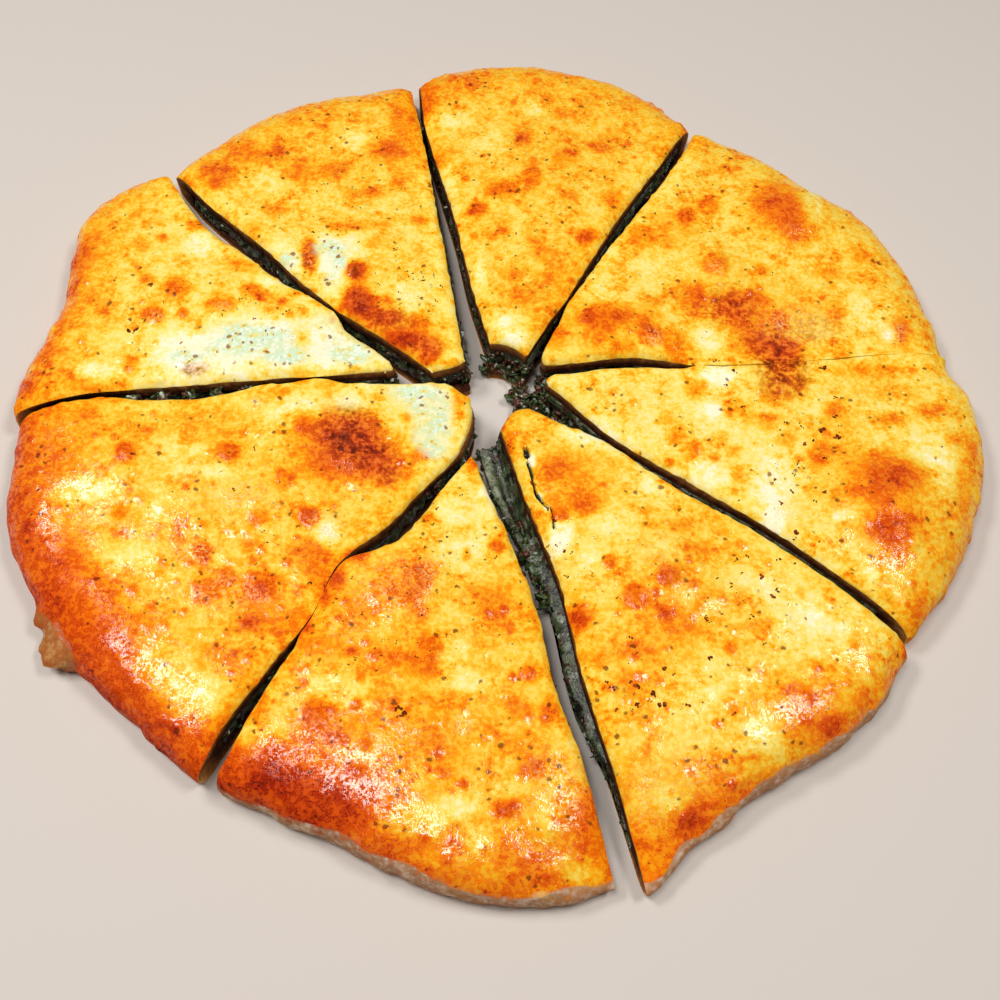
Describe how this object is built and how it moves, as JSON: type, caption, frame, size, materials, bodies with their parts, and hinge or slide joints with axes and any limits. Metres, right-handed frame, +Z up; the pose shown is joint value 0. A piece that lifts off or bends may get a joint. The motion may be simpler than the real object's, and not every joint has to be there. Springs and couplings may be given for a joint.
{
  "type": "kubdari bread",
  "caption": "Round flat filled bread, golden brown and blistered on top, cut into wedge slices that lie together in a ring, with a dark herb filling showing in the cuts.",
  "frame": {"origin": "middle of the bread's box in plan, on the surface that it lies on", "axes": "+Z up, -Y towards the near side of the bread as pictured, +X to the right"},
  "size_m": [0.284, 0.2886, 0.0176],
  "materials": {
    "crust": "baked wheat dough, buttered, pale gold to dark brown",
    "filling": "moist chopped herbs and minced filling, dark green"
  },
  "bodies": {
    "root": {"crust_1": "crust", "crust_2": "crust", "crust_3": "crust", "crust_4": "crust", "crust_5": "crust", "crust_6": "crust", "crust_7": "crust", "crust_8": "crust", "filling_1": "filling", "filling_2": "filling", "filling_3": "filling", "filling_4": "filling", "filling_5": "filling", "filling_6": "filling", "filling_7": "filling", "filling_8": "filling"}
  },
  "joints": []
}
